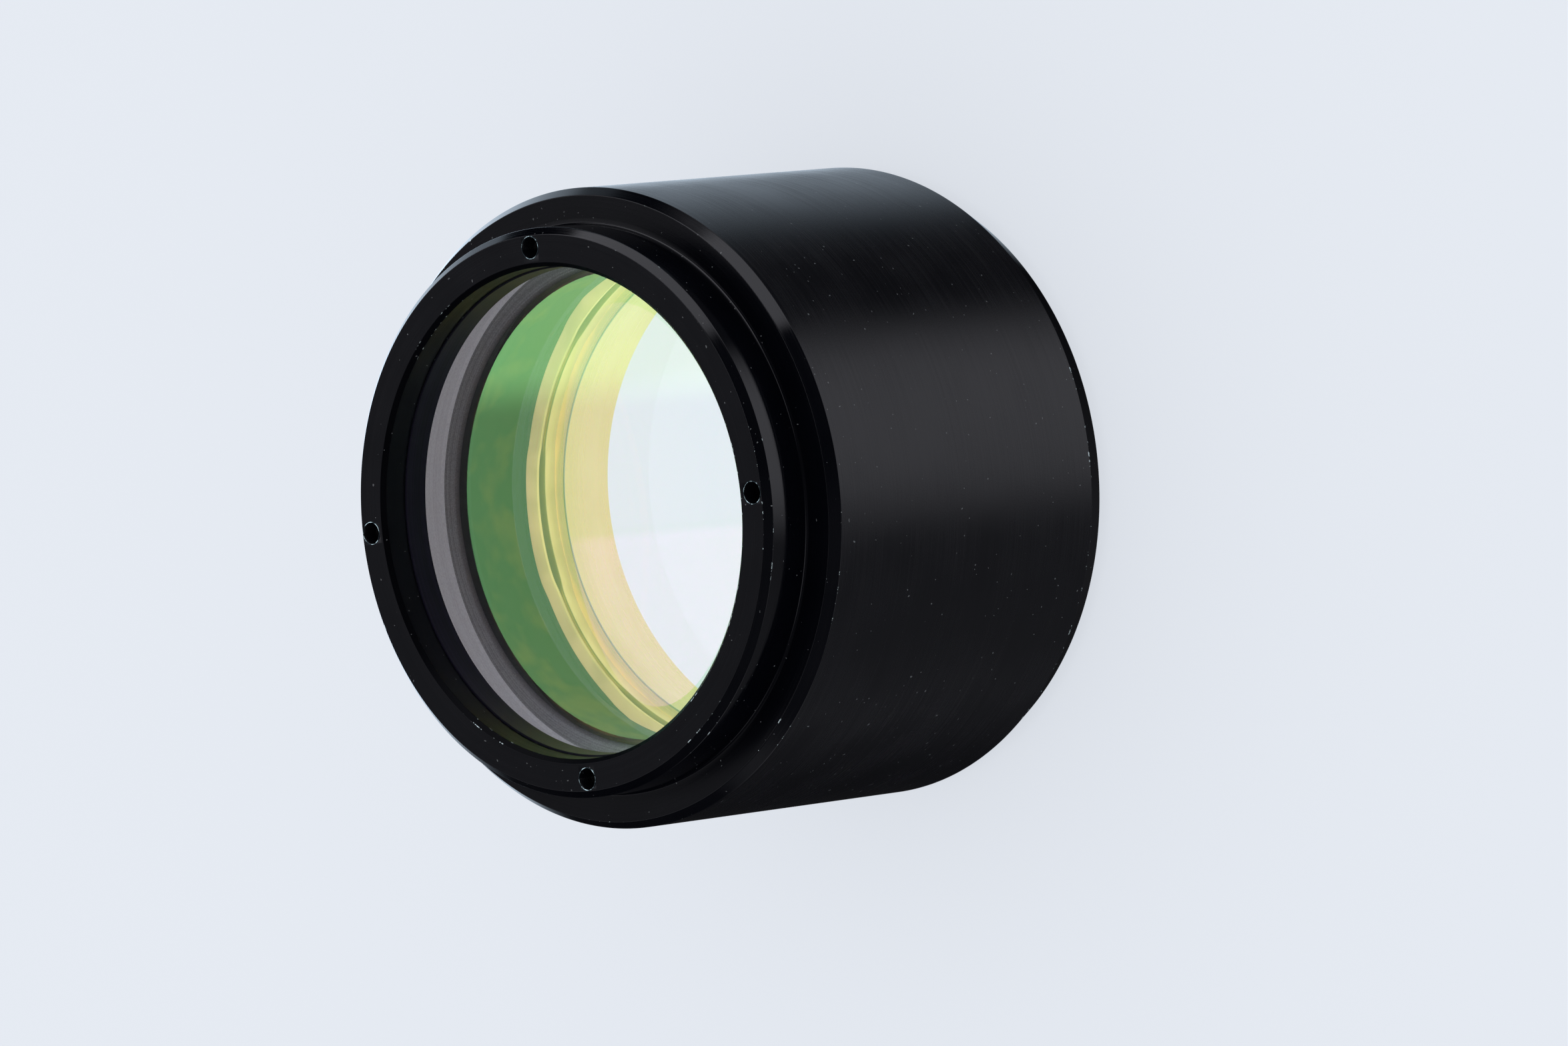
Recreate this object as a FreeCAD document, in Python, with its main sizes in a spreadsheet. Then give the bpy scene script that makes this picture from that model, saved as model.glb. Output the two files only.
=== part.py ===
"""Laser focusing lens: a turned cell with two lenses, held in from the rear by a threaded ring.

The cell stands on its flat rear rim. The origin is the centre of that rim, and +Z runs along the
optical axis to the front. Lengths are in millimetres. The stack is built from the front lip
towards the rear: seat washer, front lens, spacer, rear lens, two wave springs crest to crest,
retaining ring.
"""
import FreeCAD, Part
import math
import os

import Sketcher

Vector = FreeCAD.Vector
doc = FreeCAD.newDocument("focusing_lens")

# Driving sizes
SIZES = [
    ("lens_diameter", 30.0),
    ("lens_clearance", 0.05),
    ("lens_bevel", 0.2),
    ("body_length", 26.8),
    ("body_wall", 3.45),
    ("neck_step", 2.1),
    ("neck_length", 3.2),
    ("neck_edge_chamfer", 0.4),
    ("neck_root_radius", 0.2),
    ("shoulder_chamfer_width", 0.45),
    ("shoulder_chamfer_height", 0.6),
    ("rear_chamfer_width", 0.8),
    ("rear_chamfer_height", 1.6),
    ("lip_overlap", 0.85),
    ("aperture_chamfer", 0.25),
    ("lip_thickness", 1.8),
    ("thread_step", 0.95),
    ("thread_runout", 0.3),
    ("rear_bore_step", 0.6),
    ("rear_bore_depth", 3.4),
    ("rear_bore_chamfer", 0.3),
    ("spanner_inset", 1.1),
    ("spanner_hole", 1.2),
    ("spanner_depth", 1.1),
    ("spanner_count", 4),
    ("washer_width", 0.95),
    ("washer_thickness", 1.6),
    ("front_lens_edge", 4.6),
    ("front_lens_radius", 150.0),
    ("spacer_wall", 1.3),
    ("spacer_length", 5.2),
    ("spacer_chamfer", 0.2),
    ("rear_lens_edge", 3.5),
    ("rear_lens_radius", 62.5),
    ("spring_clearance", 0.3),
    ("spring_width", 0.8),
    ("front_strip", 0.35),
    ("rear_strip", 1.15),
    ("spring_swing", 0.11),
    ("spring_waves", 6),
    ("spring_turn", -4.0),
    ("ring_wall", 2.6),
    ("ring_length", 4.15),
    ("ring_clearance", 0.1),
    ("ring_chamfer", 0.3),
    ("slot_width", 2.0),
    ("slot_depth", 1.4),
]

# Heights and radii that follow from the driving sizes
FITTED = [
    ("lens_radius", "Sizes.lens_diameter / 2"),
    ("seat_radius", "lens_radius + Sizes.lens_clearance"),
    ("body_radius", "seat_radius + Sizes.body_wall"),
    ("neck_radius", "body_radius - Sizes.neck_step"),
    ("shoulder_height", "Sizes.body_length - Sizes.neck_length"),
    ("aperture_radius", "lens_radius - Sizes.lip_overlap"),
    ("thread_radius", "seat_radius + Sizes.thread_step"),
    ("rear_bore_radius", "thread_radius + Sizes.rear_bore_step"),
    ("spanner_radius", "neck_radius - Sizes.spanner_inset"),
    ("washer_bore_radius", "lens_radius - Sizes.washer_width"),
    ("lip_height", "Sizes.body_length - Sizes.lip_thickness"),
    ("washer_height", "lip_height - Sizes.washer_thickness"),
    ("front_rim_sag",
     "Sizes.front_lens_radius - sqrt(Sizes.front_lens_radius ^ 2 - lens_radius ^ 2)"),
    ("front_contact_sag",
     "Sizes.front_lens_radius - sqrt(Sizes.front_lens_radius ^ 2 - washer_bore_radius ^ 2)"),
    ("front_crown", "washer_height + front_contact_sag"),
    ("front_lens_back", "front_crown - front_rim_sag - Sizes.front_lens_edge"),
    ("spacer_bore_radius", "lens_radius - Sizes.spacer_wall"),
    ("spacer_bottom", "front_lens_back - Sizes.spacer_length"),
    ("rear_rim_sag",
     "Sizes.rear_lens_radius - sqrt(Sizes.rear_lens_radius ^ 2 - lens_radius ^ 2)"),
    ("rear_crown", "spacer_bottom - Sizes.rear_lens_edge - rear_rim_sag"),
    ("spring_outer", "lens_radius - Sizes.spring_clearance"),
    ("spring_inner", "spring_outer - Sizes.spring_width"),
    ("rear_contact_sag",
     "Sizes.rear_lens_radius - sqrt(Sizes.rear_lens_radius ^ 2 - spring_inner ^ 2)"),
    ("spring_meeting",
     "rear_crown + rear_contact_sag - Sizes.front_strip - 2 * Sizes.spring_swing"),
    ("ring_top", "spring_meeting - Sizes.rear_strip - 2 * Sizes.spring_swing"),
    ("ring_bottom", "ring_top - Sizes.ring_length"),
    ("thread_top", "ring_top + Sizes.thread_runout"),
    ("ring_radius", "thread_radius - Sizes.ring_clearance"),
    ("ring_bore_radius", "ring_radius - Sizes.ring_wall"),
]


def fill_sheet(name, rows):
    """One sheet: a name in column A, its number or formula in column B under that alias."""
    sheet = doc.addObject("Spreadsheet::Sheet", name)
    for row, (alias, content) in enumerate(rows, start=1):
        text = "=" + content if isinstance(content, str) else str(content)
        sheet.set(f"A{row}", alias.replace("_", " "))
        sheet.set(f"B{row}", text)
        sheet.setAlias(f"B{row}", alias)
    doc.recompute()
    return sheet


sizes = fill_sheet("Sizes", SIZES)
fitted = fill_sheet("Fitted", FITTED)


def origin_feature(body, role):
    """The body's own base plane or axis with this role."""
    return next(item for item in body.Origin.OriginFeatures if item.Role == role)


def new_body(label):
    body = doc.addObject("PartDesign::Body", label)
    body.Label = label
    return body


def new_sketch(body, name, plane):
    sketch = body.newObject("Sketcher::SketchObject", name)
    sketch.AttachmentSupport = [(origin_feature(body, plane), "")]
    sketch.MapMode = "FlatFace"
    return sketch


def bind(sketch, kind, geometry, point, formula):
    """Dimension from the sketch origin to a point, tied to a sheet formula."""
    index = sketch.addConstraint(Sketcher.Constraint(kind, -1, 1, geometry, point, 1.0))
    sketch.setExpression(f"Constraints[{index}]", formula)


def outline(sketch, corners):
    """Closed outline of straight edges. Each corner is (radius, height), a formula or None for 0."""
    count = len(corners)
    turn = 2 * math.pi / count
    rough = [Vector(2 + math.cos(turn * i), 2 + math.sin(turn * i), 0) for i in range(count)]
    for i in range(count):
        sketch.addGeometry(Part.LineSegment(rough[i], rough[(i + 1) % count]), False)
    for i, (radius, height) in enumerate(corners):
        sketch.addConstraint(Sketcher.Constraint("Coincident", i - 1 if i else count - 1, 2, i, 1))
        if radius is None:
            sketch.addConstraint(Sketcher.Constraint("PointOnObject", i, 1, -2))
        else:
            bind(sketch, "DistanceX", i, 1, radius)
        if height is None:
            sketch.addConstraint(Sketcher.Constraint("PointOnObject", i, 1, -1))
        else:
            bind(sketch, "DistanceY", i, 1, height)


def turned(label, corners):
    """A turned blank: an outline on the XZ plane, revolved about the optical axis."""
    body = new_body(label)
    sketch = new_sketch(body, label + "_profile", "XZ_Plane")
    outline(sketch, corners)
    turning = body.newObject("PartDesign::Revolution", label + "_turning")
    turning.Profile = sketch
    turning.ReferenceAxis = (sketch, ["V_Axis"])
    turning.Angle = 360
    doc.recompute()
    return body, turning


def round_edge(shape, radius, height):
    """Name of the circular edge of this radius at this height."""
    for number, edge in enumerate(shape.Edges, start=1):
        curve = edge.Curve
        if not isinstance(curve, Part.Circle):
            continue
        if abs(curve.Radius - radius) < 1e-4 and abs(curve.Center.z - height) < 1e-4:
            return f"Edge{number}"
    raise ValueError(f"no edge of radius {radius} at height {height}")


# Barrel: turned from bar. Front lip and neck, lens seat bored from the rear, then the internal
# thread for the retaining ring and a plain rear bore for the tube that it plugs onto.
barrel, barrel_turning = turned("barrel", [
    ("Fitted.rear_bore_radius + Sizes.rear_bore_chamfer", None),
    ("Fitted.body_radius - Sizes.rear_chamfer_width", None),
    ("Fitted.body_radius", "Sizes.rear_chamfer_height"),
    ("Fitted.body_radius", "Fitted.shoulder_height - Sizes.shoulder_chamfer_height"),
    ("Fitted.body_radius - Sizes.shoulder_chamfer_width", "Fitted.shoulder_height"),
    ("Fitted.neck_radius", "Fitted.shoulder_height"),
    ("Fitted.neck_radius", "Sizes.body_length - Sizes.neck_edge_chamfer"),
    ("Fitted.neck_radius - Sizes.neck_edge_chamfer", "Sizes.body_length"),
    ("Fitted.aperture_radius + Sizes.aperture_chamfer", "Sizes.body_length"),
    ("Fitted.aperture_radius", "Sizes.body_length - Sizes.aperture_chamfer"),
    ("Fitted.aperture_radius", "Fitted.lip_height"),
    ("Fitted.seat_radius", "Fitted.lip_height"),
    ("Fitted.seat_radius", "Fitted.thread_top"),
    ("Fitted.thread_radius", "Fitted.thread_top"),
    ("Fitted.thread_radius", "Sizes.rear_bore_depth"),
    ("Fitted.rear_bore_radius", "Sizes.rear_bore_depth"),
    ("Fitted.rear_bore_radius", "Sizes.rear_bore_chamfer"),
])
root = barrel.newObject("PartDesign::Fillet", "neck_root")
root.Base = (barrel_turning, [
    round_edge(barrel_turning.Shape, fitted.neck_radius, fitted.shoulder_height),
])
root.setExpression("Radius", "Sizes.neck_root_radius")
doc.recompute()

# The pin spanner's holes: one drilled on +X in the front face, then repeated about the axis
hole_sketch = new_sketch(barrel, "spanner_hole_centre", "XY_Plane")
hole_sketch.setExpression("AttachmentOffset.Base.z", "Sizes.body_length")
hole_centre = Vector(fitted.spanner_radius, 0, 0)
hole_sketch.addGeometry(Part.Circle(hole_centre, Vector(0, 0, 1), sizes.spanner_hole / 2), False)
hole_sketch.addConstraint(Sketcher.Constraint("PointOnObject", 0, 3, -1))
bind(hole_sketch, "DistanceX", 0, 3, "Fitted.spanner_radius")
width = hole_sketch.addConstraint(Sketcher.Constraint("Diameter", 0, 1.0))
hole_sketch.setExpression(f"Constraints[{width}]", "Sizes.spanner_hole")
hole = barrel.newObject("PartDesign::Pocket", "spanner_hole")
hole.Profile = hole_sketch
hole.Type = "Length"
hole.setExpression("Length", "Sizes.spanner_depth")
doc.recompute()
holes = barrel.newObject("PartDesign::PolarPattern", "spanner_holes")
holes.Originals = [hole]
holes.Axis = (origin_feature(barrel, "Z_Axis"), [""])
holes.Angle = 360
holes.setExpression("Occurrences", "Sizes.spanner_count")
barrel.Tip = holes
doc.recompute()

# Seat washer: thin black ring between the lip and the front lens
turned("seat_washer", [
    ("Fitted.washer_bore_radius", "Fitted.washer_height"),
    ("Fitted.lens_radius", "Fitted.washer_height"),
    ("Fitted.lens_radius", "Fitted.lip_height"),
    ("Fitted.washer_bore_radius", "Fitted.lip_height"),
])


def lens(label, blank_bottom, blank_height, sphere_radius, sphere_centre, flat_height):
    """Plano-convex lens: a ground disc cut to a sphere, with its flat side's edge bevelled."""
    disc = doc.addObject("Part::Cylinder", label + "_disc")
    disc.setExpression("Radius", "Fitted.lens_radius")
    disc.setExpression("Height", blank_height)
    disc.setExpression("Placement.Base.z", blank_bottom)
    ball = doc.addObject("Part::Sphere", label + "_ball")
    ball.setExpression("Radius", sphere_radius)
    ball.setExpression("Placement.Base.z", sphere_centre)
    polished = doc.addObject("Part::Common", label + "_polished")
    polished.Base = disc
    polished.Tool = ball
    doc.recompute()
    edge = round_edge(polished.Shape, fitted.lens_radius, flat_height)
    finished = doc.addObject("Part::Chamfer", label)
    finished.Base = polished
    finished.Edges = [(int(edge[4:]), sizes.lens_bevel, sizes.lens_bevel)]
    finished.Label = label
    doc.recompute()
    return finished


# Front lens: convex side to the front against the washer's inner edge, flat side to the rear
front_lens = lens(
    "front_lens",
    "Fitted.front_lens_back",
    "Fitted.front_crown - Fitted.front_lens_back",
    "Sizes.front_lens_radius",
    "Fitted.front_crown - Sizes.front_lens_radius",
    fitted.front_lens_back,
)

# Spacer: sets the air gap between the two flat faces, with its bore chamfered at both ends
turned("spacer", [
    ("Fitted.spacer_bore_radius", "Fitted.spacer_bottom + Sizes.spacer_chamfer"),
    ("Fitted.spacer_bore_radius + Sizes.spacer_chamfer", "Fitted.spacer_bottom"),
    ("Fitted.lens_radius", "Fitted.spacer_bottom"),
    ("Fitted.lens_radius", "Fitted.front_lens_back"),
    ("Fitted.spacer_bore_radius + Sizes.spacer_chamfer", "Fitted.front_lens_back"),
    ("Fitted.spacer_bore_radius", "Fitted.front_lens_back - Sizes.spacer_chamfer"),
])

# Rear lens: flat side to the front, convex side to the rear
rear_lens = lens(
    "rear_lens",
    "Fitted.rear_crown",
    "Fitted.spacer_bottom - Fitted.rear_crown",
    "Sizes.rear_lens_radius",
    "Fitted.rear_crown + Sizes.rear_lens_radius",
    fitted.spacer_bottom,
)


def wave_spring(label, middle, swing, strip):
    """Flat strip ring whose height follows a cosine of the angle, once for each wave.

    The swing is how far its centre line rises above and falls below the middle height, and the
    strip is its thickness. Four closed curves, inner and outer, top and bottom, carry the four
    skins of the strip.
    """
    waves = int(sizes.spring_waves)
    steps = 12 * waves

    def wavy(radius, lift):
        places = []
        for i in range(steps):
            angle = 2 * math.pi * i / steps
            height = middle + lift + swing * math.cos(waves * angle)
            places.append(Vector(radius * math.cos(angle), radius * math.sin(angle), height))
        curve = Part.BSplineCurve()
        curve.interpolate(Points=places, PeriodicFlag=True)
        return curve.toShape()

    half = strip / 2
    top_inner = wavy(fitted.spring_inner, half)
    top_outer = wavy(fitted.spring_outer, half)
    bottom_inner = wavy(fitted.spring_inner, -half)
    bottom_outer = wavy(fitted.spring_outer, -half)
    skins = [
        Part.makeRuledSurface(top_inner, top_outer),
        Part.makeRuledSurface(top_outer, bottom_outer),
        Part.makeRuledSurface(bottom_outer, bottom_inner),
        Part.makeRuledSurface(bottom_inner, top_inner),
    ]
    solid = Part.makeSolid(Part.makeShell([face for skin in skins for face in skin.Faces]))
    if solid.Volume < 0:
        solid.reverse()
    solid.rotate(Vector(), Vector(0, 0, 1), sizes.spring_turn)
    feature = doc.addObject("Part::Feature", label)
    feature.Shape = solid
    feature.Label = label
    return feature


# Two wave springs, one on the other crest to crest: the front one's crests touch the rear lens,
# its troughs touch the rear one's crests, and the rear one's troughs touch the retaining ring
wave_spring(
    "front_wave_spring",
    fitted.spring_meeting + sizes.spring_swing + sizes.front_strip / 2,
    sizes.spring_swing,
    sizes.front_strip,
)
wave_spring(
    "rear_wave_spring",
    fitted.spring_meeting - sizes.spring_swing - sizes.rear_strip / 2,
    -sizes.spring_swing,
    sizes.rear_strip,
)

# Retaining ring: screwed in from the rear, with one cut across its rear face for the key
ring, ring_turning = turned("retaining_ring", [
    ("Fitted.ring_bore_radius", "Fitted.ring_bottom"),
    ("Fitted.ring_radius - Sizes.ring_chamfer", "Fitted.ring_bottom"),
    ("Fitted.ring_radius", "Fitted.ring_bottom + Sizes.ring_chamfer"),
    ("Fitted.ring_radius", "Fitted.ring_top - Sizes.ring_chamfer"),
    ("Fitted.ring_radius - Sizes.ring_chamfer", "Fitted.ring_top"),
    ("Fitted.ring_bore_radius", "Fitted.ring_top"),
])
slot_sketch = new_sketch(ring, "key_slot_profile", "XZ_Plane")
outline(slot_sketch, [
    ("-Sizes.slot_width / 2", "Fitted.ring_bottom"),
    ("Sizes.slot_width / 2", "Fitted.ring_bottom"),
    ("Sizes.slot_width / 2", "Fitted.ring_bottom + Sizes.slot_depth"),
    ("-Sizes.slot_width / 2", "Fitted.ring_bottom + Sizes.slot_depth"),
])
slot = ring.newObject("PartDesign::Pocket", "key_slot")
slot.Profile = slot_sketch
slot.Type = "ThroughAll"
slot.SideType = "Symmetric"
ring.Tip = slot
doc.recompute()

PIECES = ["barrel", "seat_washer", "front_lens", "spacer", "rear_lens", "front_wave_spring",
          "rear_wave_spring", "retaining_ring"]
for item in doc.Objects:
    if "Invalid" in item.State or "Error" in item.State:
        raise RuntimeError(f"{item.Label} did not build: {item.State}")

os.makedirs("parts", exist_ok=True)
for label in PIECES:
    piece = doc.getObjectsByLabel(label)[0]
    shape = piece.Shape
    if shape.isNull() or not shape.isValid() or not shape.Solids:
        raise RuntimeError(f"{label} has no valid solid")
    box = shape.BoundBox
    print(f"{label}: {shape.Volume:.2f} mm3, z {box.ZMin:.3f} to {box.ZMax:.3f}, "
          f"width {box.XLength:.3f}")
    shape.exportStep(f"parts/{label}.step")
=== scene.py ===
"""Laser focusing lens: a black anodised cell with two coated lenses.

The cell stands on its rear rim, and the optical axis is +Z. The sections follow the assembly from
the barrel's front lip to the rear: barrel, seat washer, front lens, spacer, rear lens, two wave
springs, retaining ring. Outlines are in millimetres, as the maker's drawing has them.
"""

import bmesh
import bpy
import numpy as np
from mathutils import Matrix, Vector


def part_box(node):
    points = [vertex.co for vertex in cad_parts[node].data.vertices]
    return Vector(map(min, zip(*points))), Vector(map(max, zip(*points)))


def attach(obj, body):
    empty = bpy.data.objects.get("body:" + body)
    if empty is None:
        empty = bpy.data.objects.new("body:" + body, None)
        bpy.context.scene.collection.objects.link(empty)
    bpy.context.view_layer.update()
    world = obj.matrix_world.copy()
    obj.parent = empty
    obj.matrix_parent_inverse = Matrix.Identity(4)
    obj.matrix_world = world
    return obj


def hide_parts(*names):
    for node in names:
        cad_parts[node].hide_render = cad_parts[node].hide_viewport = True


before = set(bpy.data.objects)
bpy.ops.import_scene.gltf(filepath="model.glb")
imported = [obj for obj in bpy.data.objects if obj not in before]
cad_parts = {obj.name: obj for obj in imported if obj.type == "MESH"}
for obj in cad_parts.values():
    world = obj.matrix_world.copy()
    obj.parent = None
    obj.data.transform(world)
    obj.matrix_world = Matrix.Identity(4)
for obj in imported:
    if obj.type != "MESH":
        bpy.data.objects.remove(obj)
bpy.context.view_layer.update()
scene = bpy.context.scene

# Camera: a long lens that looks from the front and the +X side, 47 degrees above the bench. It is
# rolled so that the cell's axis points to the left of the picture.
eye = bpy.data.cameras.new("eye")
eye.sensor_width = 36
eye.lens = 251.3
eye.clip_start = 0.05
eye.clip_end = 20
camera = bpy.data.objects.new("camera", eye)
right = Vector((0.72603, -0.10729, -0.67925)).normalized()
ahead = Vector((-0.68349, -0.00396, -0.72994)).normalized()
up = right.cross(ahead)
camera.matrix_world = Matrix((right, up, -ahead)).transposed().to_4x4()
camera.location = (0.43758, 0.00055, 0.47543)
scene.collection.objects.link(camera)
scene.camera = camera
scene.view_settings.view_transform = "Standard"


# Bench and light: a pale sheet under an even white dome. What a polished or anodised face
# mirrors is a darker room with a window, a few lamps and the lit sheet's far end.
def knot(tree, kind, feeds={}, **settings):
    """A node of this kind with its settings. Each feed is a constant, or a socket to link."""
    made = tree.nodes.new(kind)
    for key, value in settings.items():
        setattr(made, key, value)
    for key, value in feeds.items():
        if isinstance(value, bpy.types.NodeSocket):
            tree.links.new(value, made.inputs[key])
        else:
            made.inputs[key].default_value = value
    return made


def step(tree, value, low, high, dark=0.0, bright=1.0):
    """Smooth rise from dark to bright as the value goes from low to high."""
    made = knot(tree, "ShaderNodeMapRange", {"Value": value, "From Min": low, "From Max": high,
                "To Min": dark, "To Max": bright}, interpolation_type="SMOOTHSTEP")
    return made.outputs["Result"]


def sums(tree, kind, *values):
    """The values added, subtracted or multiplied two by two, from the first to the last."""
    total = values[0]
    for value in values[1:]:
        total = knot(tree, "ShaderNodeMath", {0: total, 1: value}, operation=kind).outputs[0]
    return total


def split(tree, vector):
    """The x, y and z of a vector."""
    return knot(tree, "ShaderNodeSeparateXYZ", {0: vector}).outputs


def dimmed(tree, colour, share):
    """The colour times the share."""
    return knot(tree, "ShaderNodeVectorMath", {0: colour, "Scale": share},
                operation="SCALE").outputs[0]


def blend(tree, share, first, second):
    """first * (1 - share) + second * share; each is a socket or (red, green, blue)."""
    ends = [end if isinstance(end, bpy.types.NodeSocket) else (*end, 1) for end in (first, second)]
    return knot(tree, "ShaderNodeMix", {0: share, 6: ends[0], 7: ends[1]},
                data_type="RGBA").outputs[2]


def lamp_cap(tree, way, heading, wide, narrow, level):
    """A round lamp seen in this heading: its level falls from the narrow to the wide angle."""
    facing = knot(tree, "ShaderNodeVectorMath", {0: way, 1: Vector(heading).normalized()},
                  operation="DOT_PRODUCT").outputs["Value"]
    return step(tree, facing, np.cos(np.radians(wide)), np.cos(np.radians(narrow)), bright=level)


room = bpy.data.worlds.new("room")
scene.world = room
room.use_nodes = True
tree = room.node_tree
tree.nodes.clear()
way = knot(tree, "ShaderNodeTexCoord").outputs["Generated"]
x, y, z = split(tree, way)
# The window is round and up behind the cell, and its +Y half is the brighter one
window = sums(tree, "MULTIPLY",
              lamp_cap(tree, way, (-0.684, 0.0, 0.73), wide=42, narrow=30, level=1.0),
              step(tree, y, 0.060, 0.092, dark=0.88, bright=1.9))
# The side lamp fills the +Y wall from a little over the horizon upwards
side_lamp = sums(tree, "MULTIPLY", step(tree, y, 0.72, 0.78),
                 step(tree, z, 0.11, 0.15, bright=1.15))
low_lamp = lamp_cap(tree, way, (0.62, 0.24, -0.73), wide=30, narrow=2, level=0.72)
# Four dim lamps near the horizon give the body its sheen from the sides
level_lamps = [lamp_cap(tree, way, heading, wide=29, narrow=5, level=0.6) for heading in (
    (0.78, 0.60, -0.15), (0.86, -0.48, -0.15), (0.10, -0.95, -0.28), (0.10, 0.95, -0.28))]
# What is left of the room grows lighter to the front and to -Y, and darker upwards
rest = sums(tree, "MULTIPLY", step(tree, x, -0.6, 0.5, dark=0.012, bright=0.12),
            step(tree, y, 0.2, -0.2, dark=0.3), step(tree, z, -0.3, 0.1, dark=1.0, bright=0.4))
# The lit sheet's far end is low behind the cell and brightest at the back. It fades to -Y, over
# a narrower part the lower it is
near_side = step(tree, z, -0.58, -0.70, dark=-0.42, bright=-0.04)
far_side = step(tree, z, -0.58, -0.70, dark=0.04, bright=0.07)
far_light = sums(tree, "ADD", step(tree, x, -0.04, -0.5, bright=0.48),
                 step(tree, x, -0.62, -0.70, bright=0.95))
far_sheet = sums(tree, "MULTIPLY", step(tree, y, near_side, far_side), far_light,
                 step(tree, z, -0.10, -0.14), step(tree, z, -0.86, -0.76),
                 step(tree, z, -0.45, -0.20, dark=1.0, bright=0.45))
lamps = sums(tree, "ADD", window, side_lamp, low_lamp, rest, *level_lamps)
both = knot(tree, "ShaderNodeVectorMath", {0: dimmed(tree, (0.97, 0.97, 1.06), lamps),
            1: dimmed(tree, (0.88, 1.05, 1.24), far_sheet)}, operation="ADD").outputs[0]
glossy = knot(tree, "ShaderNodeLightPath").outputs["Is Glossy Ray"]
sky = knot(tree, "ShaderNodeBackground", {"Color": blend(tree, glossy, (1.0, 1.0, 1.0), both),
           "Strength": 1.0})
knot(tree, "ShaderNodeOutputWorld", {"Surface": sky.outputs[0]})


def spun(radius, height, around):
    """The outline carried round the axis: x = r cos(angle), y = r sin(angle), z = height."""
    angle = np.linspace(0, 2 * np.pi, around, endpoint=False)
    return np.stack([radius * np.cos(angle), radius * np.sin(angle), height + 0 * angle], -1)


def placed(name, mesh):
    """Object of this mesh, at the origin."""
    made = bpy.data.objects.new(name, mesh)
    scene.collection.objects.link(made)
    return made


def stage_sheet(name, radius, height, colour, glow, around=96):
    """Round sheet at this height; glow is the share of its colour that it gives by itself."""
    mesh = bpy.data.meshes.new(name)
    mesh.from_pydata(spun(radius, height, around).tolist(), [], [list(range(around))])
    sheet = placed(name, mesh)
    paint = bpy.data.materials.new(name)
    paint.use_nodes = True
    shader = paint.node_tree.nodes["Principled BSDF"]
    shader.inputs["Base Color"].default_value = (*[c * (1 - glow) for c in colour], 1)
    shader.inputs["Roughness"].default_value = 0.9
    shader.inputs["Specular IOR Level"].default_value = 0.0
    shader.inputs["Emission Color"].default_value = (*colour, 1)
    shader.inputs["Emission Strength"].default_value = glow
    mesh.materials.append(paint)
    return sheet


bench = stage_sheet("bench", 4.0, -0.00001, (0.79, 0.83, 0.895), 0.75)
bench.visible_glossy = False
# The sheet's lit patch under the cell shows through the lenses: mauve to +Y, green to -Y
glow_disc = stage_sheet("lit_sheet_under_cell", 0.0162, 0.0001, (0.83, 0.88, 0.92), 1.0)
tree = glow_disc.data.materials[0].node_tree
across = split(tree, knot(tree, "ShaderNodeTexCoord").outputs["Object"])["Y"]
tone = blend(tree, step(tree, across, 0.0050, 0.0068), (0.82, 0.865, 0.90), (0.68, 0.64, 0.75))
tone = blend(tree, step(tree, across, -0.0007, -0.0022), tone, (0.735, 0.85, 0.80))
tree.links.new(tone, tree.nodes["Principled BSDF"].inputs["Emission Color"])

# Barrel: turned from aluminium bar, chamfered, bored from the rear, drilled with four blind
# spanner holes in the front face, then black anodised. Sharp edges have lost their colour in
# places, and each hole keeps a thin raised rim of bare metal.


def rounded(corners, steps=5):
    """Closed outline of (radius, height, rounding) corners, in metres, with an edge share.

    Each corner becomes an arc tangent to both its sides: the arc's centre is on the bisector, at
    rounding / sin(half the corner's angle). One more point stands on each side of the arc, so
    that flat sides shade flat. The edge share is 1 on the arcs that stand out and 0 elsewhere.
    """
    given = np.array(corners, float)
    spot, size = given[:, :2], given[:, 2:]
    before = np.roll(spot, 1, 0) - spot
    after = np.roll(spot, -1, 0) - spot
    before /= np.linalg.norm(before, axis=1)[:, None]
    after /= np.linalg.norm(after, axis=1)[:, None]
    half = np.arccos(np.sum(before * after, 1))[:, None] / 2
    reach = size / np.tan(half)
    bisector = (before + after) / np.linalg.norm(before + after, axis=1)[:, None]
    centre = spot + bisector * size / np.sin(half)
    share = np.linspace(0, 1, steps)[None, :, None]
    start = (spot + before * reach - centre)[:, None]
    end = (spot + after * reach - centre)[:, None]
    sweep = (np.pi - 2 * half)[:, None]
    between = np.sin((1 - share) * sweep) * start + np.sin(share * sweep) * end
    arc = centre[:, None] + between / np.sin(sweep)
    lead = (spot + before * (reach + size))[:, None]
    trail = (spot + after * (reach + size))[:, None]
    line = np.concatenate([lead, arc, trail], 1)
    mark = np.zeros(line.shape[:2])
    mark[:, 1:-1] = (before[:, 1] * after[:, 0] > before[:, 0] * after[:, 1])[:, None]
    return line.reshape(-1, 2) / 1000, mark.ravel()


def quads(rows, around, closed=True):
    """Quads of a grid whose rows run round; a closed grid's last row meets its first."""
    i, j = np.meshgrid(np.arange(rows if closed else rows - 1), np.arange(around), indexing="ij")
    over, on = (i + 1) % rows, (j + 1) % around
    return np.stack([i * around + j, i * around + on, over * around + on, over * around + j],
                    -1).reshape(-1, 4)


def ring_piece(name, verts, key, value):
    """Smooth closed ring from a grid of points; each row of it has its value under this key."""
    rows, around = verts.shape[:2]
    mesh = bpy.data.meshes.new(name)
    mesh.from_pydata(verts.reshape(-1, 3).tolist(), [], quads(rows, around).tolist())
    mesh.attributes.new(key, "FLOAT", "POINT").data.foreach_set("value", np.repeat(value, around))
    mesh.shade_smooth()
    return placed(name, mesh)


def turned(name, corners, around=448, steps=5):
    """The rounded outline carried round the axis, with its edge share."""
    line, mark = rounded(corners, steps)
    return ring_piece(name, spun(line[:, :1], line[:, 1:], around), "edge", mark)


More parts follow.
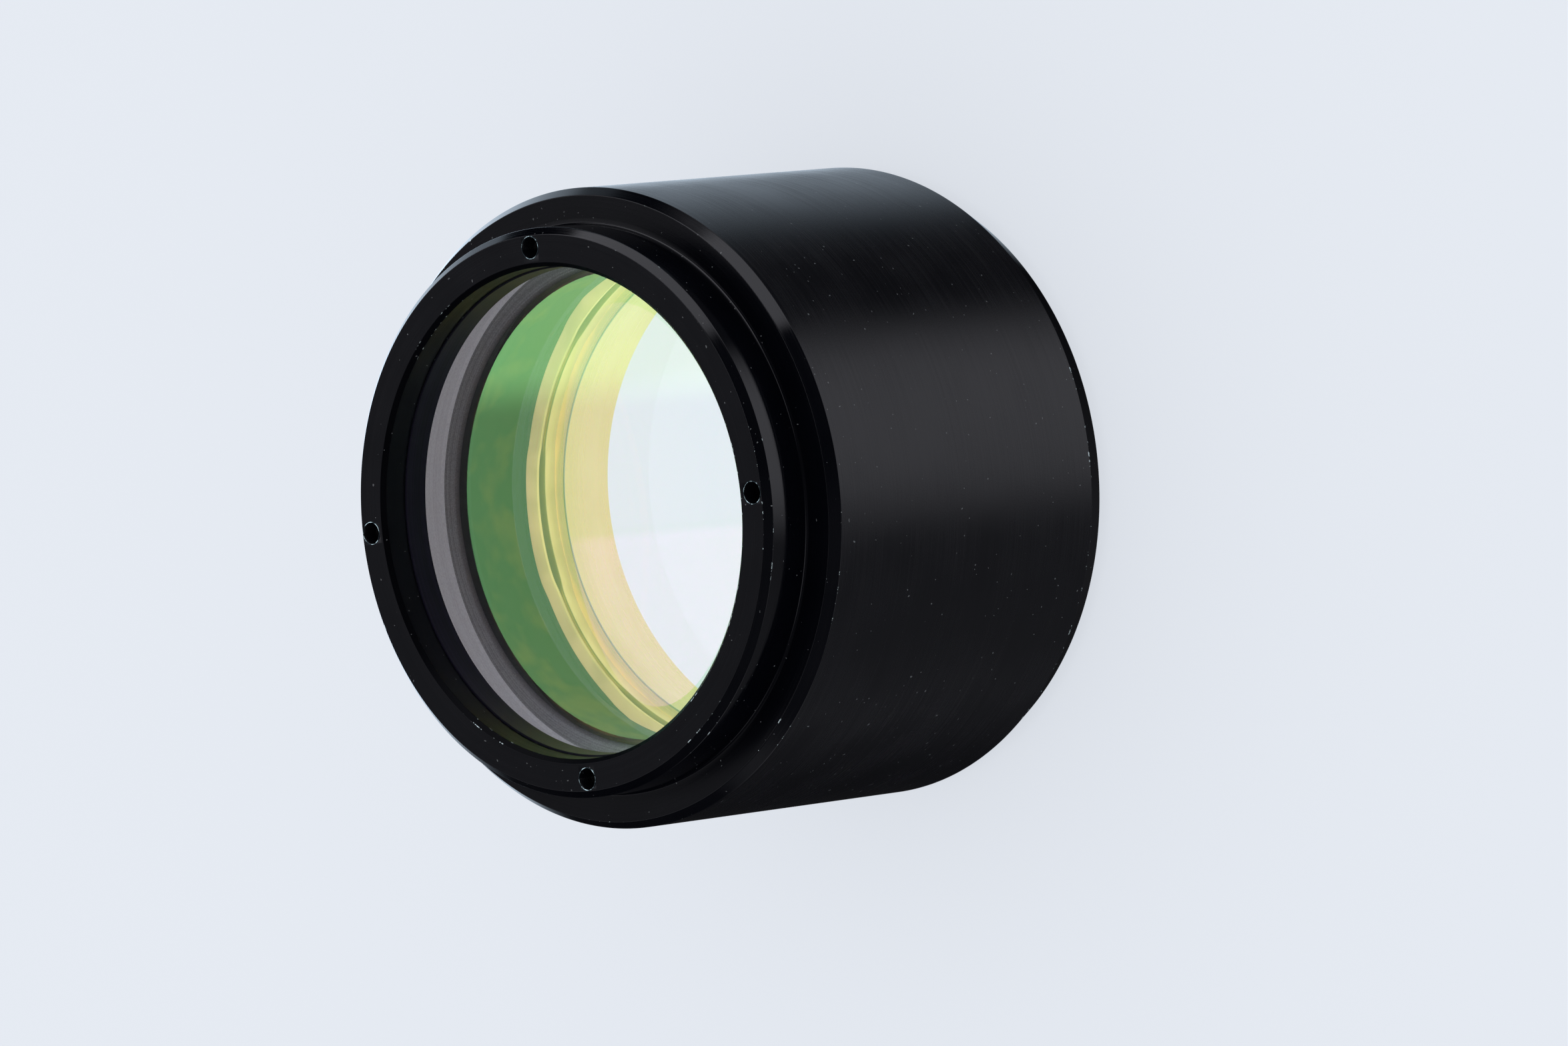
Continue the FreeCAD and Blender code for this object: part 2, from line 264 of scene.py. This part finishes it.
def spindle(name, line, around, centre=(0.0, 0.0)):
    """Closed mesh of a (radius, height) line carried round; it starts and ends on the axis.

    The two ends are fans of triangles to one point each. The axis goes through the centre.
    """
    line = np.array(line)
    rows = len(line) - 2
    points = spun(line[1:-1, :1], line[1:-1, 1:], around).reshape(-1, 3) + [*centre, 0.0]
    tips = np.array([[*centre, line[0, 1]], [*centre, line[-1, 1]]])
    near = np.arange(around)
    after, tip, last = (near + 1) % around, rows * around, (rows - 1) * around
    first_fan = np.stack([after, near, 0 * near + tip], -1)
    last_fan = np.stack([last + near, last + after, 0 * near + tip + 1], -1)
    mesh = bpy.data.meshes.new(name)
    mesh.from_pydata((np.concatenate([points, tips]) / 1000).tolist(), [],
                     quads(rows, around, closed=False).tolist() + first_fan.tolist()
                     + last_fan.tolist())
    return mesh


def cut(target, cutters):
    """Takes the cutters out of the target, whose mesh becomes the result, and removes them."""
    for cutter in cutters:
        modifier = target.modifiers.new("cut", "BOOLEAN")
        modifier.operation = "DIFFERENCE"
        modifier.object = cutter
        modifier.solver = "EXACT"
    result = bpy.data.meshes.new_from_object(
        target.evaluated_get(bpy.context.evaluated_depsgraph_get()))
    target.modifiers.clear()
    target.data = result
    for cutter in cutters:
        bpy.data.objects.remove(cutter)


low, high = (np.array(corner) * 1000 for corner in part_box("barrel"))
outer, length = high[0], high[2]
neck, front_edge, aperture, seat, thread, rear_bore = 16.4, 16.0, 14.15, 15.05, 16.0, 16.6
lip, shoulder, thread_end = length - 1.8, length - 3.2, 3.4
thread_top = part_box("retaining_ring")[1].z * 1000 + 0.3
barrel = turned("black_barrel", [
    (rear_bore + 0.3, 0, 0.03),
    (outer - 0.8, 0, 0.05),
    (outer, 1.6, 0.12),
    (outer, shoulder - 0.6, 0.04),
    (outer - 0.43, shoulder, 0.04),
    (neck, shoulder, 0.2),
    (neck, length - 0.4, 0.04),
    (front_edge, length, 0.035),
    (aperture + 0.25, length, 0.03),
    (aperture, length - 0.25, 0.03),
    (aperture, lip, 0.03),
    (seat, lip, 0.03),
    (seat, thread_top, 0.03),
    (thread, thread_top, 0.03),
    (thread, thread_end, 0.03),
    (rear_bore, thread_end, 0.03),
    (rear_bore, 0.3, 0.03),
])

hole = 0.6
quarter = np.arange(4) * np.pi / 2
hole_places = np.stack([np.cos(quarter), np.sin(quarter)], 1) * 15.3
drill_line = np.array([
    (0.0, -1.15), (0.56, -0.98), (hole, -0.9), (hole, -0.03), (hole + 0.05, 0.02),
    (hole + 0.06, 0.3), (0.0, 0.3)]) + (0.0, length)
cut(barrel, [placed("drill", spindle("drill", drill_line, 48, centre)) for centre in hole_places])


def new_finish(name, base, roughness, **constants):
    """New material; returns it with its node tree, its shader and its Object coordinates."""
    paint = bpy.data.materials.new(name)
    paint.use_nodes = True
    shader = paint.node_tree.nodes["Principled BSDF"]
    shader.inputs["Base Color"].default_value = (*base, 1)
    shader.inputs["Roughness"].default_value = roughness
    for key, value in constants.items():
        shader.inputs[key.replace("_", " ")].default_value = value
    place = knot(paint.node_tree, "ShaderNodeTexCoord").outputs["Object"]
    return paint, paint.node_tree, shader, place


def axis_distance(tree, place):
    """Distance from the optical axis: the length of (x, y, 0)."""
    x, y, z = split(tree, place)
    flat = knot(tree, "ShaderNodeCombineXYZ", {0: x, 1: y}).outputs[0]
    return knot(tree, "ShaderNodeVectorMath", {0: flat}, operation="LENGTH").outputs["Value"]


def noise(tree, vector, scale, detail=2.0, rough=0.5):
    """Soft random pattern on these coordinates, round 0.5, with this many spots to the metre."""
    return knot(tree, "ShaderNodeTexNoise", {"Vector": vector, "Scale": scale, "Detail": detail,
                "Roughness": rough}).outputs["Fac"]


def lathe_marks(tree, place, drift, fine, detail=2.0, rough=0.5):
    """Noise on (x * drift, y * drift, (r - z) * fine), so it changes fast along the outline and
    slowly round it."""
    x, y, z = split(tree, place)
    along = sums(tree, "MULTIPLY", sums(tree, "SUBTRACT", axis_distance(tree, place), z), fine)
    marks = knot(tree, "ShaderNodeCombineXYZ", {0: sums(tree, "MULTIPLY", x, drift),
                 1: sums(tree, "MULTIPLY", y, drift), 2: along}).outputs[0]
    return noise(tree, marks, 1.0, detail, rough)


def emboss(tree, shader, height, depth, share):
    """Bump from a height pattern that is this deep, in metres, times the share."""
    bump = knot(tree, "ShaderNodeBump", {"Height": height, "Distance": depth, "Strength": share})
    tree.links.new(bump.outputs[0], shader.inputs["Normal"])


def anodised(name, specular, roughness, marks, relief_share=0.6):
    """Black anodising: blue-black, with grain, lathe marks, pale dust and edges worn to metal."""
    paint, tree, shader, place = new_finish(name, (0.002, 0.0025, 0.004), roughness,
                                            Specular_IOR_Level=specular)
    lathe = lathe_marks(tree, place, 60.0, 9000.0, 3.0, 0.6)
    grain = noise(tree, place, 9000.0, 3.0, 0.65)
    cloud = noise(tree, place, 260.0, 3.0)
    speck = step(tree, noise(tree, place, 5200.0, 0.0), 0.845, 0.86)
    edge = knot(tree, "ShaderNodeAttribute", attribute_name="edge").outputs["Fac"]
    chipped = step(tree, noise(tree, place, 2300.0, 4.0, 0.7), 0.58, 0.62)
    region = step(tree, noise(tree, place, 90.0, 1.0), 0.50, 0.56)
    worn = sums(tree, "MULTIPLY", step(tree, edge, 0.5, 0.9), chipped, region)
    black = blend(tree, cloud, (0.0004, 0.0006, 0.0014), (0.0014, 0.0016, 0.0030))
    dusty = blend(tree, sums(tree, "MULTIPLY", speck, 0.5), black, (0.16, 0.17, 0.18))
    bare = blend(tree, worn, dusty, (0.62, 0.74, 0.76))
    tree.links.new(bare, shader.inputs["Base Color"])
    tree.links.new(sums(tree, "MULTIPLY", worn, 0.8), shader.inputs["Metallic"])
    dull = sums(tree, "ADD", step(tree, lathe, 0.2, 0.8, roughness - 0.05, roughness + 0.06),
                step(tree, cloud, 0.3, 0.7, -0.02, 0.03))
    tree.links.new(dull, shader.inputs["Roughness"])
    relief = sums(tree, "ADD", sums(tree, "MULTIPLY", lathe, marks), grain)
    emboss(tree, shader, relief, 0.000004, relief_share)
    return paint


def of_faces(mesh, key):
    """One vector for each face of the mesh: its "normal" or its "center"."""
    flat = np.zeros(len(mesh.polygons) * 3, np.float32)
    mesh.polygons.foreach_get(key, flat)
    return flat.reshape(-1, 3)


side_black = anodised("anodised_side", 0.5, 0.24, 0.5)
face_black = anodised("anodised_face", 0.065, 0.22, 1.0)
cut_black = anodised("anodised_chamfer", 0.5, 0.10, 0.3, 0.15)
bore_black = anodised("anodised_bore", 0.05, 0.35, 1.0)
bare_rim, tree, shader, place = new_finish("bare_rim", (0.55, 0.72, 0.74), 0.25, Metallic=1.0)
tree.links.new(step(tree, noise(tree, place, 6000.0), 0.3, 0.7, 0.15, 0.4),
               shader.inputs["Roughness"])
tone = blend(tree, step(tree, noise(tree, place, 1900.0, 3.0, 0.6), 0.46, 0.6),
             (0.02, 0.03, 0.035), (0.60, 0.80, 0.82))
tree.links.new(tone, shader.inputs["Base Color"])

mesh = barrel.data
for paint in (side_black, face_black, bare_rim, cut_black, bore_black):
    mesh.materials.append(paint)
on_side, on_face, on_rim, on_chamfer, in_bore = range(5)
lean, middle = of_faces(mesh, "normal")[:, 2], of_faces(mesh, "center")
reach = np.hypot(middle[:, 0], middle[:, 1]) * 1000
front_part = middle[:, 2] > (shoulder - 0.02) / 1000
sloped = (np.abs(lean) > 0.2) & (np.abs(lean) < 0.98)
finish = np.where((front_part | sloped) & (reach > front_edge), on_chamfer, on_side)
finish[(lean > 0.98) & front_part] = on_face
finish[(lean < 0.98) & (reach < seat + 0.15)] = in_bore
mesh.polygons.foreach_set("material_index", finish.astype(np.int32))

rims = bmesh.new()
rims.from_mesh(mesh)
laps, sides = 72, 8
lap = np.linspace(0, 2 * np.pi, laps, endpoint=False)
tube = np.linspace(0, 2 * np.pi, sides, endpoint=False)
for turn, centre in enumerate(hole_places):
    waver = 1 + 0.35 * np.sin(3 * lap + turn) * np.sin(7 * lap + 2 * turn)
    swell = 0.026 * waver
    reach = hole + 0.05 + swell[:, None] * np.cos(tube)
    verts = np.stack([
        centre[0] + reach * np.cos(lap)[:, None], centre[1] + reach * np.sin(lap)[:, None],
        length + 0.6 * swell[:, None] * np.sin(tube)], -1).reshape(-1, 3) / 1000
    faces = quads(laps, sides)[:, [0, 3, 2, 1]]
    burr = bpy.data.meshes.new("burr")
    burr.from_pydata(verts.tolist(), [], faces.tolist())
    burr.polygons.foreach_set("material_index", np.full(len(faces), on_rim, np.int32))
    burr.shade_smooth()
    rims.from_mesh(burr)
rims.to_mesh(mesh)
rims.free()
mesh.set_sharp_from_angle(angle=np.radians(50))
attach(barrel, "root")
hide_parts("barrel")

# Seat washer: a plain ring turned from black acetal. It lies loose between the lip and the front
# lens and keeps the glass off the metal. From here on each piece stops a hair short of the next.
fit, ease = 14.99, 0.004
low, high = (np.array(corner) * 1000 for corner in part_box("seat_washer"))
washer = turned("seat_washer_ring", [
    (14.05, low[2] + ease, 0.03),
    (fit, low[2] + ease, 0.03),
    (fit, high[2] - ease, 0.03),
    (14.05, high[2] - ease, 0.03),
], around=320, steps=4)
black_acetal, tree, shader, place = new_finish("black_acetal", (0.006, 0.0065, 0.010), 0.35,
                                               Specular_IOR_Level=0.06)
lathe = lathe_marks(tree, place, 40.0, 14000.0)
tone = blend(tree, step(tree, lathe, 0.35, 0.7), (0.004, 0.0045, 0.007), (0.008, 0.007, 0.015))
tree.links.new(tone, shader.inputs["Base Color"])
emboss(tree, shader, lathe, 0.000006, 0.5)
washer.data.materials.append(black_acetal)
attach(washer, "root")
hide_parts("seat_washer")

# Front lens: fused silica, convex to the front, flat to the rear, with a coat that mirrors
# green. Its edge is fine ground, with a faint painted glow, and its corners are bevelled.


def lens_blank(name, *bands, around=288):
    """Closed shape turned about the axis from bands of (radii, heights), in millimetres.

    The first band starts on the axis at the rear and the last ends on it at the front. Each
    band's faces take their own material, in order.
    """
    line = np.concatenate([np.stack(band, 1)[:-1] for band in bands]
                          + [np.stack(bands[-1], 1)[-1:]])
    label = np.repeat(np.arange(len(bands)), [len(radii) - 1 for radii, heights in bands])
    mesh = spindle(name, line, around)
    index = np.repeat(np.concatenate([label[1:-1], label[:1], label[-1:]]), around)
    mesh.polygons.foreach_set("material_index", index.astype(np.int32))
    mesh.shade_smooth()
    mesh.set_sharp_from_angle(angle=np.radians(12))
    return placed(name, mesh)


def dome(radius, crown, rim, sign, rows=110):
    """Sphere cap from the axis to the rim: crown - sign * (R - sqrt(R * R - r * r))."""
    reach = np.linspace(0, rim, rows)
    return reach, crown - sign * (radius - np.sqrt(radius ** 2 - reach ** 2))


def silica(name, film, film_index):
    """Polished fused silica; the coat is a thin film of this thickness in nanometres."""
    return new_finish(name, (1, 1, 1), 0.0, IOR=1.458, Transmission_Weight=1.0,
                      Thin_Film_Thickness=film, Thin_Film_IOR=film_index)[0]


low, high = (np.array(corner) * 1000 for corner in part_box("front_lens"))
back, crown = low[2], high[2] - 0.005
bevel, flat_bevel = 0.06, 0.2
cap_r, cap_z = dome(150.0, crown, fit - bevel, 1)
front_lens = lens_blank(
    "front_lens_glass",
    (np.linspace(0, fit - flat_bevel, 40), np.full(40, back)),
    (np.array([fit - flat_bevel, fit, fit, fit - bevel]),
     np.array([back, back + flat_bevel, cap_z[-1] - bevel, cap_z[-1]])),
    (cap_r[::-1], cap_z[::-1]))
green_coat = silica("green_coat", 359.0, 2.0)
plain_coat = silica("plain_coat", 0.0, 1.33)
# Painted light: the ground edge glows faintly, so that it looks lit from inside the glass.
ground_edge_painted_glow, tree, shader, place = new_finish("ground_edge_painted_glow", (0.42, 0.40, 0.45), 0.6,
                                              Emission_Color=(0.90, 0.98, 0.93, 1),
                                              Emission_Strength=0.11)
lathe = lathe_marks(tree, place, 90.0, 9000.0, 3.0)
frost = noise(tree, place, 7000.0, 2.0)
tone = blend(tree, sums(tree, "MULTIPLY", lathe, frost, 3.0), (0.62, 0.68, 0.65),
             (0.88, 0.97, 0.92))
tree.links.new(tone, shader.inputs["Base Color"])
for paint in (plain_coat, ground_edge_painted_glow, green_coat):
    front_lens.data.materials.append(paint)
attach(front_lens, "root")
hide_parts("front_lens")

# Spacer: black anodised ring that sets the gap between the lenses, with a bead-blasted front
# face and a bore turned in fine rings. The bore is browned and stained below its front edge.
low, high = (np.array(corner) * 1000 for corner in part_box("spacer"))
bore, bore_edge, bottom, top = 13.7, 13.9, low[2] + ease, high[2] - ease
spacer = turned("spacer_ring", [
    (bore, bottom + 0.2, 0.03),
    (bore_edge, bottom, 0.03),
    (fit, bottom, 0.03),
    (fit, top, 0.03),
    (bore_edge, top, 0.03),
    (bore, top - 0.2, 0.03),
], around=384, steps=4)
blasted, tree, shader, place = new_finish("blasted_face", (0.06, 0.055, 0.062), 0.5,
                                          Specular_IOR_Level=0.2)
grit = noise(tree, place, 15000.0, 2.0, 0.6)
band = lathe_marks(tree, place, 25.0, 9000.0)
tone = blend(tree, step(tree, sums(tree, "ADD", grit, band), 0.7, 1.35), (0.42, 0.44, 0.43),
             (0.78, 0.82, 0.80))
# Painted shade: the face and its inner chamfer darken towards the bore, to 0.3 of their tone.
painted_shade_fade = step(tree, axis_distance(tree, place), 0.01362, 0.01392, dark=0.3)
tree.links.new(dimmed(tree, tone, painted_shade_fade), shader.inputs["Base Color"])
emboss(tree, shader, grit, 0.00002, 0.8)
spacer_bore, tree, shader, place = new_finish("spacer_bore", (0.01, 0.01, 0.01), 0.45,
                                              Specular_IOR_Level=0.08)
lathe = lathe_marks(tree, place, 25.0, 2600.0, 3.0, 0.6)
height = split(tree, place)["Z"]
brown_part = step(tree, height, (high[2] - 0.9) / 1000, (high[2] - 1.3) / 1000)
stain = sums(tree, "MULTIPLY", step(tree, noise(tree, place, 300.0, 2.0), 0.46, 0.68),
             step(tree, height, (high[2] - 0.6) / 1000, (high[2] - 1.4) / 1000))
tone = blend(tree, step(tree, lathe, 0.3, 0.7), (0.005, 0.007, 0.006), (0.014, 0.016, 0.010))
tone = blend(tree, brown_part, tone, (0.075, 0.042, 0.034))
tone = blend(tree, stain, tone, (0.40, 0.23, 0.05))
tree.links.new(tone, shader.inputs["Base Color"])
emboss(tree, shader, lathe, 0.00001, 0.5)
for paint in (spacer_bore, blasted):
    spacer.data.materials.append(paint)
faces_front = of_faces(spacer.data, "normal")[:, 2] > 0.5
spacer.data.polygons.foreach_set("material_index", faces_front.astype(np.int32))
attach(spacer, "root")
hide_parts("spacer")

# Rear lens: fused silica, flat to the front, convex to the rear, where its coat mirrors a pale
# blue-green. Its ground edge is blackened.
low, high = (np.array(corner) * 1000 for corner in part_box("rear_lens"))
crown, front = low[2], high[2] - ease
cap_r, cap_z = dome(62.5, crown, fit - bevel, -1)
rear_lens = lens_blank(
    "rear_lens_glass",
    (cap_r, cap_z),
    (np.array([fit - bevel, fit, fit, fit - flat_bevel]),
     np.array([cap_z[-1], cap_z[-1] + bevel, front - flat_bevel, front])),
    (np.linspace(fit - flat_bevel, 0, 40), np.full(40, front)))
blue_coat = silica("blue_green_coat", 158.0, 2.45)
black_edge, tree, shader, place = new_finish("blackened_edge", (0.012, 0.014, 0.012), 0.5,
                                             Specular_IOR_Level=0.1)
lathe = lathe_marks(tree, place, 25.0, 2600.0, 3.0)
tone = blend(tree, lathe, (0.010, 0.011, 0.006), (0.075, 0.058, 0.014))
tree.links.new(tone, shader.inputs["Base Color"])
tree.links.new(step(tree, lathe, 0.3, 0.7, 0.4, 0.65), shader.inputs["Roughness"])
for paint in (blue_coat, black_edge, plain_coat):
    rear_lens.data.materials.append(paint)
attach(rear_lens, "root")
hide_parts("rear_lens")

# Wave springs: two rolled bronze strip rings, one on the other crest to crest, that press the
# stack forward. Between the crests they leave slots. The bronze has a painted glow.


def wave_ring(name, inner, outer, middle, strip, swing, lap=720):
    """Strip ring whose outline is lifted by swing * tanh(5 * cos(a)), a = 6 (angle - 1.5 degrees).

    Where that opens a slot, it is also times (1 + 0.4 * sin(a)) / 1.4, so that each slot is
    blunt at one end and thin at the other. The ring's lit share scales its painted glow: 0.05 on
    the side that faces the other ring, which paints shade there, 1.35 on the far side and 1
    between.
    """
    half = strip / 2
    line = rounded([(inner, -half, 0.07), (outer, -half, 0.07), (outer, half, 0.07),
                    (inner, half, 0.07)])[0]
    turn = 6 * (np.linspace(0, 2 * np.pi, lap, endpoint=False) - np.radians(1.5))
    wave = swing * np.tanh(5 * np.cos(turn))
    wave *= np.where(wave * swing > 0, (1 + 0.4 * np.sin(turn)) / 1.4, 1.0)
    away = line[:, 1] * np.sign(swing) / half * 1000
    lit = np.where(away > 0.9, 1.35, np.where(away < -0.95, 0.05, 1.0))
    verts = spun(line[:, :1], line[:, 1:] + (middle + wave) / 1000, lap)
    return ring_piece(name, verts, "lit", lit)


# Painted light: the bronze glows, and the glow is scaled by the ring's lit share.
bronze, tree, shader, place = new_finish("rolled_bronze_painted_glow", (0.86, 0.72, 0.25), 0.35, Metallic=0.5,
                                         Emission_Color=(0.95, 0.62, 0.30, 1))
streak = lathe_marks(tree, place, 30.0, 16000.0, 3.0)
patina = noise(tree, place, 500.0, 3.0)
tone = blend(tree, sums(tree, "MULTIPLY", streak, patina, 3.2), (0.86, 0.64, 0.11),
             (0.98, 0.82, 0.20))
tree.links.new(tone, shader.inputs["Base Color"])
tree.links.new(step(tree, streak, 0.3, 0.7, 0.28, 0.45), shader.inputs["Roughness"])
lit = knot(tree, "ShaderNodeAttribute", attribute_name="lit").outputs["Fac"]
tree.links.new(sums(tree, "MULTIPLY", step(tree, patina, 0.3, 0.7, 0.34, 0.46), lit),
               shader.inputs["Emission Strength"])
swing = 0.11
for node, sign in (("front_wave_spring", 1), ("rear_wave_spring", -1)):
    low, high = (np.array(corner) * 1000 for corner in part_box(node))
    spring = wave_ring(node.replace("wave_spring", "bronze_spring"), 13.99 + 0.09 * sign, 14.93,
                       (low[2] + high[2]) / 2, high[2] - low[2] - 0.238, sign * swing)
    spring.data.materials.append(bronze)
    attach(spring, "root")
    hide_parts(node)

# Retaining ring: turned from brass bar and slotted across its rear face for a driver. It is
# screwed in from the rear and holds the whole stack. Its front face has a painted glow.
low, high = (np.array(corner) * 1000 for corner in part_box("retaining_ring"))
bottom, top = low[2], high[2] - ease
bore, major = 13.3, 15.9
retaining = turned("brass_ring", [
    (bore, bottom, 0.06),
    (major - 0.3, bottom, 0.05),
    (major, bottom + 0.3, 0.05),
    (major, top - 0.3, 0.05),
    (major - 0.3, top, 0.05),
    (bore, top, 0.06),
])
slot_half, slot_reach, slot_depth = 1.0, 20.0, 1.4
corner = np.array([(x, y, z) for x in (-slot_half, slot_half) for y in (-slot_reach, slot_reach)
                   for z in (bottom - 1.0, bottom + slot_depth)]) / 1000
walls = [[0, 1, 3, 2], [4, 6, 7, 5], [0, 4, 5, 1], [2, 3, 7, 6], [0, 2, 6, 4], [1, 5, 7, 3]]
mesh = bpy.data.meshes.new("slot_cutter")
mesh.from_pydata(corner.tolist(), [], walls)
cut(retaining, [placed("slot_cutter", mesh)])
retaining.data.set_sharp_from_angle(angle=np.radians(50))
brass, tree, shader, place = new_finish("turned_brass", (0.93, 0.83, 0.36), 0.3, Metallic=1.0,
                                        Emission_Color=(0.82, 0.72, 0.40, 1))
lathe = lathe_marks(tree, place, 30.0, 12000.0, 3.0)
patina = noise(tree, place, 350.0, 3.0)
height = split(tree, place)["Z"]
# Painted light: the front face is tinted paler and greener and glows faintly. On its rounded front
# edges the glow is weaker and the tint greener, which paints a shaded line along them.
front_face = step(tree, height, (top - 0.05) / 1000, (top - 0.02) / 1000)
edge = knot(tree, "ShaderNodeAttribute", attribute_name="edge").outputs["Fac"]
front_edge_band = sums(tree, "MULTIPLY", step(tree, height, (top - 0.09) / 1000, (top - 0.05) / 1000), edge)
tone = blend(tree, sums(tree, "MULTIPLY", lathe, patina, 3.2), (0.90, 0.66, 0.16),
             (0.99, 0.80, 0.26))
tone = blend(tree, sums(tree, "MULTIPLY", front_face, 0.7), tone, (0.60, 0.66, 0.44))
tone = blend(tree, front_edge_band, tone, (0.62, 0.74, 0.46))
tree.links.new(tone, shader.inputs["Base Color"])
glow = sums(tree, "SUBTRACT", 0.2, sums(tree, "MULTIPLY", front_edge_band, 0.14))
tree.links.new(sums(tree, "MULTIPLY", front_face, glow), shader.inputs["Emission Strength"])
tree.links.new(step(tree, lathe, 0.3, 0.7, 0.25, 0.42), shader.inputs["Roughness"])
retaining.data.materials.clear()
retaining.data.materials.append(brass)
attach(retaining, "root")
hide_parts("retaining_ring")
